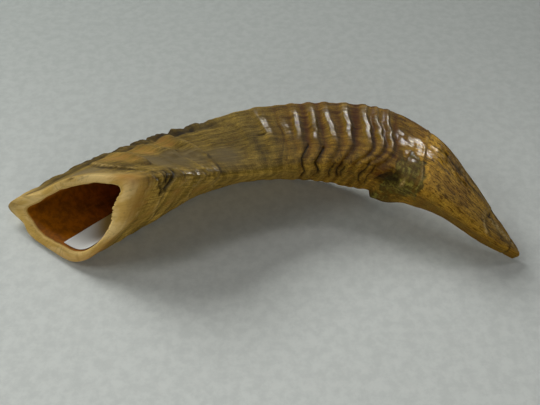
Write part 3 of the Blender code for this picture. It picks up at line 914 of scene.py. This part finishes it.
@dataclass(frozen=True)
class HornFinish:
    """Dry horn: fibrous olive and tan, red-brown in the troughs, polished on the crests. Painted highlight lightens
    the crests and painted shade darkens the troughs, cracks, folds and hollows; painted light lightens the lower side
    and the hollow's mouth.
    """

    olive_tan: Colour = (0.150, 0.096, 0.012)
    dark_fibre: Colour = (0.075, 0.048, 0.006)
    light_fibre: Colour = (0.25, 0.165, 0.026)
    amber: Colour = (0.235, 0.128, 0.012)
    amber_dark: Colour = (0.100, 0.042, 0.003)
    honey: Colour = (0.66, 0.370, 0.040)
    chestnut: Colour = (0.42, 0.215, 0.020)
    # paler colours for the lower side, standing in for the light on it: painted light
    painted_lit_underside: Colour = (0.48, 0.31, 0.060)
    painted_lit_brown_underside: Colour = (0.40, 0.225, 0.024)
    red_brown: Colour = (0.070, 0.016, 0.001)
    umber: Colour = (0.036, 0.023, 0.007)
    crack: Colour = (0.010, 0.006, 0.002)
    straw: Colour = (0.60, 0.385, 0.095)
    bone: Colour = (0.76, 0.55, 0.215)
    mauve_grey: Colour = (0.150, 0.112, 0.052)
    gold: Colour = (0.29, 0.175, 0.026)
    orange: Colour = (0.38, 0.180, 0.034)
    moss: Colour = (0.085, 0.076, 0.008)
    moss_light: Colour = (0.22, 0.195, 0.036)
    hollow_red: Colour = (0.140, 0.016, 0.0003)
    hollow_dark: Colour = (0.060, 0.007, 0.0003)
    hollow_olive_painted_light: Colour = (0.27, 0.085, 0.001)
    matt: float = 0.88
    polished: float = 0.17

    def make(self) -> Material:
        """Build the material.

        Returns:
            The horn's material.
        """
        desk = Desk("dry_horn")
        look = HornPatterns(desk)
        colour = self.worn(desk, look, self.skin(desk, look))
        colour = self.scarred(desk, look, colour)
        colour = self.edged(desk, look, colour)
        colour = self.lined(desk, look, colour)
        # grime and painted shade darken the cracks, grooves, wrinkles and hollows
        dirt_and_shade = desk.maths("MULTIPLY", desk.mark(Mark.CRACK), desk.remap(look.speck, 0.2, 0.6, 0.75, 1.0))
        colour = desk.blend(dirt_and_shade, colour, self.crack)
        normal = desk.bump(desk.remap(look.fibres, 0.2, 0.8), 0.6, 0.00022)
        normal = desk.bump(look.speck, 0.5, 0.00014, normal)
        rough = self.roughness(desk, look)
        return desk.finish(Base_Color=colour, Roughness=rough, Normal=normal, Specular_IOR_Level=0.37)

    def skin(self, desk: Desk, look: HornPatterns) -> NodeSocket:
        """Colour the bare horn from its mouth to its tip.

        Args:
            desk: The material's desk.
            look: The shared patterns.

        Returns:
            The colour.
        """
        cool = desk.blend(desk.remap(look.blotch, 0.35, 0.65), self.olive_tan, self.light_fibre)
        cool = desk.blend(desk.remap(look.strands, 0.34, 0.58, 0.5, 0.0), cool, self.dark_fibre)
        hot = desk.blend(desk.remap(look.strands, 0.30, 0.62), self.amber_dark, self.amber)
        hot = desk.blend(desk.remap(look.blotch, 0.50, 0.70, 0.0, 0.5), hot, self.light_fibre)
        spike = desk.blend(desk.remap(look.blotch, 0.35, 0.62), self.chestnut, self.honey)
        spike = desk.blend(desk.remap(look.mottle, 0.54, 0.68, 0.0, 0.35), spike, self.amber_dark)
        hot = desk.blend(desk.remap(look.down, 228.0, 250.0), hot, spike)
        colour = desk.blend(desk.remap(look.down, 115.0, 160.0), cool, hot)
        lower = desk.blend(desk.remap(look.down, 110.0, 215.0), self.painted_lit_underside, self.painted_lit_brown_underside)
        lower = desk.blend(desk.remap(look.down, 232.0, 262.0, 0.0, 0.8), lower, self.amber_dark)
        lower = desk.blend(desk.remap(look.bands, 0.40, 0.62, 0.75, 0.0), lower, self.olive_tan)
        lower = desk.blend(desk.remap(look.mottle, 0.50, 0.70, 0.0, 0.45), lower, self.gold)
        # painted light: the lower side takes paler colours in place of the light falling on it, and turns darker near
        # the tip
        colour = desk.blend(desk.remap(look.height, 9.0, -7.0, 0.0, 0.85), colour, lower)
        dashed = desk.maths("MULTIPLY", desk.remap(look.dashes, 0.48, 0.62), desk.remap(look.down, 130.0, 262.0, 0.35, 0.85))
        colour = desk.blend(dashed, colour, self.amber_dark)
        fibrous = desk.remap(look.down, 230.0, 262.0, 1.0, 0.4)
        colour = desk.blend(fibrous, colour, desk.remap(look.fibres, 0.33, 0.67, 0.62, 1.38), "MULTIPLY")
        return desk.blend(1.0, colour, desk.remap(look.speck, 0.30, 0.70, 0.74, 1.26), "MULTIPLY")

    def worn(self, desk: Desk, look: HornPatterns, colour: NodeSocket) -> NodeSocket:
        """Tint the base's folds, the crests and the troughs, partly with painted highlight and painted shade.

        Args:
            desk: The material's desk.
            look: The shared patterns.
            colour: The colour so far.

        Returns:
            The tinted colour.
        """
        golden = desk.blend(desk.remap(look.strands, 0.40, 0.65), self.gold, self.orange)
        colour = desk.blend(desk.remap(desk.mark(Mark.GOLD), 0.1, 0.9, 0.0, 0.6), colour, golden)
        colour = desk.blend(desk.remap(desk.mark(Mark.GREY), 0.1, 0.9, 0.0, 0.7), colour, self.mauve_grey)
        # painted highlight: the crests are lightened where they glint
        colour = desk.blend(desk.maths("MULTIPLY", desk.mark(Mark.CREST), 0.5), colour, self.light_fibre)
        ragged = desk.remap(look.fibres, 0.38, 0.66, 1.0, 0.75)
        # troughs: red-brown tint deepened as painted shade; also the red patch by the scar
        colour = desk.blend(desk.maths("MULTIPLY", desk.mark(Mark.TROUGH), ragged), colour, self.red_brown)
        # the shade mark darkens to umber: painted shade past the fold edges, after the crescent step and beside the
        # tip's rib, and the horn's own dark brown on the far keel, the lump and the tip's pits
        dark = desk.maths("MULTIPLY", desk.mark(Mark.SHADE), desk.remap(look.mottle, 0.40, 0.60, 1.0, 0.55))
        return desk.blend(dark, colour, self.umber)

    def scarred(self, desk: Desk, look: HornPatterns, colour: NodeSocket) -> NodeSocket:
        """Colour the flaked scar.

        Args:
            desk: The material's desk.
            look: The shared patterns.
            colour: The colour so far.

        Returns:
            The colour with the scar.
        """
        mossy = desk.blend(desk.remap(look.strands, 0.42, 0.62), self.moss, self.moss_light)
        mossy = desk.blend(desk.remap(look.mottle, 0.40, 0.56, 0.0, 0.85), mossy, self.umber)
        mossy = desk.blend(desk.remap(look.blotch, 0.50, 0.60, 0.0, 0.6), mossy, self.amber_dark)
        return desk.blend(desk.remap(desk.mark(Mark.OLIVE), 0.3, 1.0, 0.0, 0.85), colour, mossy)

    def edged(self, desk: Desk, look: HornPatterns, colour: NodeSocket) -> NodeSocket:
        """Colour the pale edges and the rim.

        Args:
            desk: The material's desk.
            look: The shared patterns.
            colour: The colour so far.

        Returns:
            The colour with its pale edges.
        """
        edge = desk.blend(desk.remap(look.mottle, 0.35, 0.65), self.bone, self.gold)
        colour = desk.blend(desk.mark(Mark.PALE), colour, edge)
        lip = desk.blend(desk.remap(look.blotch, 0.42, 0.62), self.straw, self.bone)
        lip = desk.blend(desk.remap(look.mottle, 0.56, 0.72, 0.0, 0.45), lip, self.mauve_grey)
        lip = desk.blend(desk.remap(look.fibres, 0.50, 0.70, 0.0, 0.4), lip, self.gold)
        lip = desk.blend(desk.maths("MULTIPLY", desk.mark(Mark.GOLD), 0.85), lip, self.orange)
        lip = desk.blend(desk.maths("MULTIPLY", desk.mark(Mark.GREY), 0.8), lip, self.mauve_grey)
        return desk.blend(desk.mark(Mark.RIM), colour, lip)

    def lined(self, desk: Desk, look: HornPatterns, colour: NodeSocket) -> NodeSocket:
        """Colour the hollow red-brown, with painted light making it lighter and olive at its mouth.

        Args:
            desk: The material's desk.
            look: The shared patterns.
            colour: The colour so far.

        Returns:
            The colour with the hollow's.
        """
        cave = desk.blend(desk.remap(look.strands, 0.35, 0.65), self.hollow_red, self.hollow_dark)
        # painted light: the hollow is lighter olive near its mouth, where light falls in, and red-brown deeper in
        cave = desk.blend(desk.remap(desk.mark(Mark.INSIDE), 0.0, 0.55, 0.9, 0.0), cave, self.hollow_olive_painted_light)
        cave = desk.blend(1.0, cave, desk.remap(look.mottle, 0.35, 0.65, 0.7, 1.25), "MULTIPLY")
        return desk.blend(desk.remap(desk.mark(Mark.INSIDE), 0.0, 0.04), colour, cave)

    def roughness(self, desk: Desk, look: HornPatterns) -> NodeSocket:
        """Polish the crests in strands and leave the rest matt.

        Args:
            desk: The material's desk.
            look: The shared patterns.

        Returns:
            The roughness.
        """
        polish = desk.maths("MAXIMUM", desk.mark(Mark.CREST), desk.mark(Mark.GLOSS))
        polish = desk.maths("MULTIPLY", polish, desk.remap(look.fibres, 0.38, 0.54, 0.15, 1.0))
        matt = desk.maths("ADD", self.matt, desk.remap(look.mottle, 0.3, 0.7, 0.0, 0.1))
        return desk.remap(polish, 0.12, 0.65, matt, self.polished)


@dataclass(frozen=True)
class PaperFinish:
    """Plain white paper, a little yellow with age, with soft fibres, and painted shade where it runs into the hollow.
    """

    white: Colour = (0.74, 0.73, 0.68)
    yellowed_and_shaded: Colour = (0.34, 0.22, 0.06)

    def make(self) -> Material:
        """Build the material.

        Returns:
            The slip's material.
        """
        desk = Desk("slip_paper")
        place = desk.add("TexCoord").outputs["Object"]
        fibres = desk.noise(place, 900.0, 3)
        cloud = desk.noise(place, 60.0, 2)
        colour = desk.blend(desk.remap(cloud, 0.45, 0.8, 0.0, 0.35), self.white, self.yellowed_and_shaded)
        # painted shade: the slip darkens where it runs into the hollow
        colour = desk.blend(desk.mark(Mark.SHADE), colour, self.yellowed_and_shaded)
        normal = desk.bump(fibres, 0.25, 0.0001)
        return desk.finish(Base_Color=colour, Roughness=0.9, Normal=normal)


@dataclass(frozen=True)
class TableFinish:
    """The pale grey table that the horn lies on, darkened towards the back by painted light falloff."""

    pale: Colour = (0.82, 0.85, 0.80)
    darker: Colour = (0.73, 0.76, 0.715)
    far_shade: Colour = (0.45, 0.465, 0.46)

    def make(self) -> Material:
        """Build the material.

        Returns:
            The table's material.
        """
        desk = Desk("pale_table")
        place = desk.add("TexCoord").outputs["Object"]
        cloud = desk.noise(place, 160.0, 5, 0.65)
        grain = desk.noise(place, 600.0, 3)
        colour = desk.blend(desk.remap(cloud, 0.35, 0.65), self.pale, self.darker)
        slope = desk.add("VectorMath", {0: place, 1: (0.05, 1.0, 0.0)}, operation="DOT_PRODUCT").outputs["Value"]
        # painted shade: the table darkens towards the back
        colour = desk.blend(desk.remap(slope, -0.25, 0.30), colour, self.far_shade, "MULTIPLY")
        normal = desk.bump(grain, 0.2, 0.0002)
        return desk.finish(Base_Color=colour, Roughness=0.75, Normal=normal)


def new_grid(name: str, long_faces: int, round_faces: int) -> tuple[Object, NDArray, NDArray]:
    """Add a primitive grid to be rolled up, whose UVs run from 0 to 1 both ways.

    Args:
        name: The object's name.
        long_faces: Faces along the grid's X.
        round_faces: Faces along its Y.

    Returns:
        The object, and each vertex's place along X and along Y as whole numbers.
    """
    bpy.ops.object.select_all(action="DESELECT")
    bpy.ops.mesh.primitive_grid_add(x_subdivisions=long_faces, y_subdivisions=round_faces, size=1.0)
    piece = bpy.context.active_object
    piece.name = piece.data.name = name
    places = np.empty(len(piece.data.vertices) * 3)
    piece.data.vertices.foreach_get("co", places)
    places = places.reshape(-1, 3) + 0.5
    row = np.rint(places[:, 0] * long_faces).astype(int)
    column = np.rint(places[:, 1] * round_faces).astype(int)
    return piece, row, column


def roll_up(piece: Object, points: Array, row: NDArray, column: NDArray) -> None:
    """Move a grid's vertices to their points.

    Args:
        piece: The grid.
        points: Points in metres, by row and column.
        row: Each vertex's row.
        column: Each vertex's column.
    """
    piece.data.vertices.foreach_set("co", points[row, column].astype(np.float32).ravel())
    piece.data.update()


def sew(piece: Object, gap: float = 1e-6) -> None:
    """Merge the vertices that meet and turn all faces outwards, in edit mode."""
    bpy.ops.object.select_all(action="DESELECT")
    piece.select_set(True)
    bpy.context.view_layer.objects.active = piece
    bpy.ops.object.mode_set(mode="EDIT")
    bpy.ops.mesh.select_all(action="SELECT")
    bpy.ops.mesh.remove_doubles(threshold=gap)
    bpy.ops.mesh.normals_make_consistent(inside=False)
    bpy.ops.object.mode_set(mode="OBJECT")


def store(piece: Object, name: str, values: Array, row: NDArray, column: NDArray) -> None:
    """Store a number or a vector on every vertex, as a point attribute."""
    vector = values.ndim == 3
    layer = piece.data.attributes.new(name, "FLOAT_VECTOR" if vector else "FLOAT", "POINT")
    layer.data.foreach_set("vector" if vector else "value", values[row, column].astype(np.float32).ravel())


@dataclass
class HornSheath:
    """The sheath: tip, outside, rounded lip and hollow in one skin.

    Lengths are in millimetres. The stretches are (first station, last station, rows).
    """

    shape: RingShape
    shift: Vector
    outside_stretches: tuple[tuple[float, float, int], ...] = (
        (0.0, 1.0, 56), (1.0, 3.4, 92), (3.4, 4.8, 38), (4.8, 9.3, 182), (9.3, 12.0, 78), (12.0, 13.0, 22),
    )
    hollow_stretches: tuple[tuple[float, float, int], ...] = ((0.0, 1.0, 16), (1.0, 4.0, 20), (4.0, 7.6, 18))
    columns: int = 176
    lip_rows: int = 9
    cap_rows: int = 6
    lip_height: float = 0.8
    tooth: float = 0.8
    grain_radius: float = 20.0
    rim_trim: Points = (
        (-180, -0.8), (-147, 0), (-120, 0), (-97, 0.5), (-73, 0), (-52, -2), (-25, -1.6), (-6, -3), (3, -1.5),
        (13, -0.5), (26, 0), (43, -1.2), (59, -2.5), (91, -4.5), (101, -1.5), (110, 0), (118, -1), (128, -5.5),
        (140, -5), (152, -3.5), (165, -1.5), (180, -0.8),
    )
    rim_trim_fade: float = 0.4
    reliefs: tuple = (BaseFolds(), FarKeel(), NearWrinkles(), Bow(), Cracks(), Scar(), Spike(), Weathering())

    def stations(self, stretches: tuple[tuple[float, float, int], ...]) -> Array:
        """Give the stretches' stations, with the last one's end."""
        parts = [np.linspace(*stretch, endpoint=False) for stretch in stretches]
        return np.append(np.concatenate(parts), stretches[-1][1])

    def carved(self, angle: Array) -> Skin:
        """Carve every relief into a plain skin.

        Args:
            angle: Angles in degrees, of one dimension.

        Returns:
            The carved skin.
        """
        skin = Skin(self.shape, self.stations(self.outside_stretches), angle)
        for relief in self.reliefs:
            relief.carve(skin)
        skin.height *= ramp(skin.rows, -0.05, 0.25)
        steps = (-4.0, -2.0, 0.0, 2.0, 4.0)
        trim = sum(np.interp(turn(angle + step, 0), *zip(*self.rim_trim)) for step in steps) / len(steps)
        skin.height += trim * bell(skin.rows, self.rim_trim_fade)
        skin.height -= 2.0 * bell(turn(skin.columns, 145), 14) * bell(skin.rows - 0.6, 0.6)
        corner = bell(turn(skin.columns, -4), 22)
        skin.height -= (0.6 + 1.2 * corner) * bell(skin.rows, 0.05 + 0.05 * corner)
        band = bell(skin.rows, 0.3) * (1 - 0.6 * bell(turn(skin.columns, 60), 50))
        skin.add(Mark.RIM, band)
        return skin

    def build(self) -> Object:
        """Roll a grid over the carved rings and store its marks.

        Returns:
            The finished mesh object, without its material.
        """
        angle = np.linspace(-180, 180, self.columns + 1)
        skin = self.carved(angle)
        centre, offset = self.shape.rings(skin.station, angle)
        length = np.linalg.norm(offset, axis=-1)
        outside = centre + offset * ((length + skin.height) / length)[..., None]
        hollow_station = self.stations(self.hollow_stretches)
        inside = self.shape.hollow(hollow_station, angle, self.inner_relief(hollow_station, angle))
        lip = self.lip(outside[0], inside[0])
        cap = self.cap(outside)
        points = np.concatenate([cap[::-1], outside[::-1], lip, inside])
        points = (points * MM) + np.array(self.shift)
        piece, row, column = new_grid("horn_sheath", len(points) - 1, self.columns)
        roll_up(piece, points, row, column)
        for mark, values in skin.marks.items():
            store(piece, mark.value, self.spread_mark(mark, values, hollow_station), row, column)
        store(piece, "grain", self.grain(skin.station, hollow_station, angle), row, column)
        sew(piece)
        bpy.ops.object.shade_smooth()
        return piece

    def spread_mark(self, mark: Mark, outside: Array, hollow_station: Array) -> Array:
        """Carry a mark of the outside over the cap, the lip and the hollow.

        Args:
            mark: The mark.
            outside: Its values on the outside, from the mouth to the tip.
            hollow_station: Stations of the hollow's rows.

        Returns:
            The values of every row of the grid.
        """
        cap = np.repeat(outside[-1:], self.cap_rows, axis=0)
        lip = np.zeros((self.lip_rows, outside.shape[1]))
        hollow = np.zeros((len(hollow_station), outside.shape[1]))
        if mark is Mark.RIM:
            lip += 1
            hollow += bell(hollow_station, 0.03)[:, None]
        share = np.arange(1, self.lip_rows + 1)[:, None] / (self.lip_rows + 1)
        if mark in (Mark.GOLD, Mark.GREY, Mark.CRACK):
            lip += (1 - share) * outside[0]
        if mark is Mark.CRACK:
            lip += self.rim_dirt(share)
        if mark is Mark.INSIDE:
            hollow += (0.05 + hollow_station / 4)[:, None]
            hollow[0] = 0
        return np.concatenate([cap, outside[::-1], lip, np.clip(hollow, 0, 1)])

    def rim_dirt(self, share: Array) -> Array:
        """Give the thin dark line inside the rim and the specks on its top edge.

        Args:
            share: How far each row of the lip is from the outside to the hollow.

        Returns:
            The dirt on each point of the lip.
        """
        angle = np.linspace(-180, 180, self.columns + 1)[None, :]
        ragged = ramp(patches(share, angle, (0.2, 9), 83), -0.6, 1.0)
        line = 0.30 * bell(share - 0.72, 0.09) * bell(turn(angle, -110), 80) * ragged
        specks = ramp(patches(share, angle, (0.12, 3.2), 84), 0.1, 0.3) * bell(turn(angle, 50), 9)
        return line + 0.9 * specks * bell(share - 0.2, 0.25)

    def inner_relief(self, station: Array, angle: Array) -> Array:
        """Give the hollow's long low ribs and the teeth of its torn edge."""
        ribs = 0.25 * patches(station[:, None], angle[None, :], (2.0, 7), 81)
        teeth = self.tooth * patches(station[:, None], angle[None, :], (0.05, 2.05), 82)
        torn = bell(station[:, None], 0.06) * bell(turn(angle[None, :], -42), 45)
        return ribs + teeth * torn

    def lip(self, outer: Array, inner: Array) -> Array:
        """Round the wall's cut edge between the outside and the hollow.

        Args:
            outer: The outside's first ring.
            inner: The hollow's first ring.

        Returns:
            The lip's rings.
        """
        keels = (self.shape.near_keel, self.shape.far_keel, self.shape.base_keel)
        near, far, base = (np.array(keel[0], dtype=float) for keel in keels)
        outward = np.cross(near - far, base - far)
        outward = -outward / np.linalg.norm(outward) * np.sign(outward[0])
        share = (np.arange(1, self.lip_rows + 1) / (self.lip_rows + 1))[:, None, None]
        rise = np.sin(np.pi * share) ** 0.45
        return outer + share * (inner - outer) + self.lip_height * rise * outward

    def cap(self, outside: Array) -> Array:
        """Close the tip with a blunt dome."""
        middle, before = outside[-1].mean(axis=0), outside[-2].mean(axis=0)
        onward = (middle - before) / np.linalg.norm(middle - before)
        slant = (np.arange(1, self.cap_rows + 1) / self.cap_rows * np.pi / 2)[:, None, None]
        return middle + (outside[-1] - middle) * np.cos(slant) + onward * self.shape.tip_cap * np.sin(slant)

    def grain(self, station: Array, hollow_station: Array, angle: Array) -> Array:
        """Give coordinates in millimetres as if the horn were straight, for its patterns.

        Args:
            station: Stations of the outside.
            hollow_station: Stations of the hollow.
            angle: Angles in degrees.

        Returns:
            A vector for each grid point: along, and two across.
        """
        cap = self.shape.tip + np.arange(1, self.cap_rows + 1)[::-1] * 0.01
        lip = -np.arange(1, self.lip_rows + 1) * 0.03
        rows = np.concatenate([cap, station[::-1], lip, hollow_station + 20])
        radius = self.grain_radius * np.interp(rows, (-1, 4, 9, 13, 13.2), (1.1, 0.9, 0.75, 0.45, 0.45))
        turned = np.radians(angle)[None, :]
        radius = radius[:, None]
        down = np.repeat(rows[:, None] * 25.0, len(angle), axis=1)
        return np.stack([down, radius * np.cos(turned), radius * np.sin(turned)], axis=-1)

    def dress(self, piece: Object) -> None:
        """Give the sheath its material and its place in the frame."""
        piece.data.materials.append(HornFinish().make())
        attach(piece, "root")
        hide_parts("ram_horn")


@dataclass
class PaperSlip:
    """The blank slip of paper that lies curled in the mouth. Lengths are in millimetres."""

    shape: RingShape
    shift: Vector
    span: tuple[float, float] = (0.06, 2.4)
    angles: tuple[float, float] = (-139, -50)
    faces: tuple[int, int] = (60, 44)
    clearance: float = 0.62
    thickness: float = 0.14

    def build(self) -> Object:
        """Curl a grid to the hollow's floor and thicken it.

        Returns:
            The finished mesh object, without its material.
        """
        station = np.linspace(*self.span, self.faces[0] + 1)
        angle = np.linspace(*self.angles, self.faces[1] + 1)
        wave = 0.08 * patches(station[:, None], angle[None, :], (0.6, 30), 91)
        points = self.shape.hollow(station, angle, self.clearance + wave)
        piece, row, column = new_grid("slip_of_paper", *self.faces)
        roll_up(piece, points * MM + np.array(self.shift), row, column)
        # the shade mark holds the slip's painted shade
        store(piece, Mark.SHADE.value, self.painted_slip_shade(station, angle), row, column)
        self.thicken(piece)
        return piece

    def painted_slip_shade(self, station: Array, angle: Array) -> Array:
        """Paint shade where the slip runs into the dark of the hollow."""
        dusk = ramp(station[:, None] + 0.012 * (angle[None, :] + 100), 0.05, 0.55)
        return dusk * np.ones_like(angle)[None, :]

    def thicken(self, piece: Object) -> None:
        """Give the sheet its thickness, with the modifier applied."""
        bpy.ops.object.select_all(action="DESELECT")
        piece.select_set(True)
        bpy.context.view_layer.objects.active = piece
        solid = piece.modifiers.new("thickness", "SOLIDIFY")
        solid.thickness = self.thickness * MM
        solid.offset = 0.0
        bpy.ops.object.modifier_apply(modifier=solid.name)
        bpy.ops.object.shade_smooth()

    def dress(self, piece: Object) -> None:
        """Give the slip its material and its place in the frame."""
        piece.data.materials.append(PaperFinish().make())
        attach(piece, "root")
        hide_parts("paper_slip")


@dataclass(frozen=True)
class Lamp:
    """One soft area light, aimed at the horn. Lengths are in metres."""

    name: str
    place: Colour
    size: tuple[float, float]
    power: float
    colour: Colour = (1.0, 1.0, 1.0)
    lights: bool = True
    glints: bool = False

    def build(self, aim: Vector) -> None:
        """Add the light."""
        light = bpy.data.lights.new(self.name, "AREA")
        light.shape = "RECTANGLE"
        light.size, light.size_y = self.size
        light.energy = self.power
        light.color = self.colour
        lamp = bpy.data.objects.new(self.name, light)
        bpy.context.scene.collection.objects.link(lamp)
        lamp.visible_diffuse, lamp.visible_glossy = self.lights, self.glints
        lamp.location = self.place
        lamp.rotation_euler = (aim - lamp.location).to_track_quat("-Z", "Y").to_euler()


@dataclass
class Studio:
    """The pale table, the soft lights and the camera. Lengths are in metres."""

    aim: Vector
    table_size: float = 6.0
    elevation: float = 45.0
    distance: float = 0.442
    lens: float = 50.0
    sensor: float = 36.0
    ambient: float = 0.04
    lamps: tuple[Lamp, ...] = (
        Lamp("window", (-0.76, 1.08, 0.72), (0.8, 0.45), 21.5, (0.98, 0.99, 1.0)),
        Lamp("side_window", (-1.13, 0.10, 0.83), (0.6, 0.5), 3.6, (1.0, 1.0, 0.99)),
        Lamp("front_fill", (0.05, -1.20, 0.34), (1.2, 0.5), 5.2, (1.0, 0.99, 0.97)),
        Lamp("gloss_panel", (0.22, 0.71, 0.94), (0.24, 0.15), 15.0, (1.0, 0.99, 0.96), False, True),
    )

    def build(self) -> None:
        """Build the table, the lights, the world and the camera."""
        self.lay_table()
        for lamp in self.lamps:
            lamp.build(self.aim)
        self.light_world()
        self.place_camera()

    def lay_table(self) -> None:
        """Lay the table at the height that the horn rests on."""
        bpy.ops.object.select_all(action="DESELECT")
        bpy.ops.mesh.primitive_plane_add(size=self.table_size)
        table = bpy.context.active_object
        table.name = "table"
        table.data.materials.append(TableFinish().make())

    def light_world(self) -> None:
        """Give the room an even grey light."""
        world = bpy.data.worlds.new("room")
        world.use_nodes = True
        background = world.node_tree.nodes["Background"]
        background.inputs["Color"].default_value = (0.95, 0.98, 1.0, 1.0)
        background.inputs["Strength"].default_value = self.ambient
        bpy.context.scene.world = world
        bpy.context.scene.view_settings.view_transform = "Standard"

    def place_camera(self) -> None:
        """Put the camera where the photograph was taken from."""
        lens = bpy.data.cameras.new("camera")
        lens.lens, lens.sensor_width = self.lens, self.sensor
        camera = bpy.data.objects.new("camera", lens)
        bpy.context.scene.collection.objects.link(camera)
        lift = np.radians(self.elevation)
        back = Vector((0.0, -float(np.cos(lift)), float(np.sin(lift))))
        camera.location = self.aim + back * self.distance
        camera.rotation_euler = (-back).to_track_quat("-Z", "Y").to_euler()
        bpy.context.scene.camera = camera


def main() -> None:
    """Build the horn, its slip of paper and the studio."""
    logging.basicConfig(level=logging.INFO, format="%(name)s: %(message)s")
    shape = RingShape()
    shift = Vector((0.00796, 0.00102, 0.00055))
    for part in (HornSheath(shape, shift), PaperSlip(shape, shift)):
        piece = part.build()
        part.dress(piece)
        LOG.info("%s: %d vertices, %d faces", piece.name, len(piece.data.vertices), len(piece.data.polygons))
    Studio(shift.copy()).build()


if __name__ == "__main__":
    main()
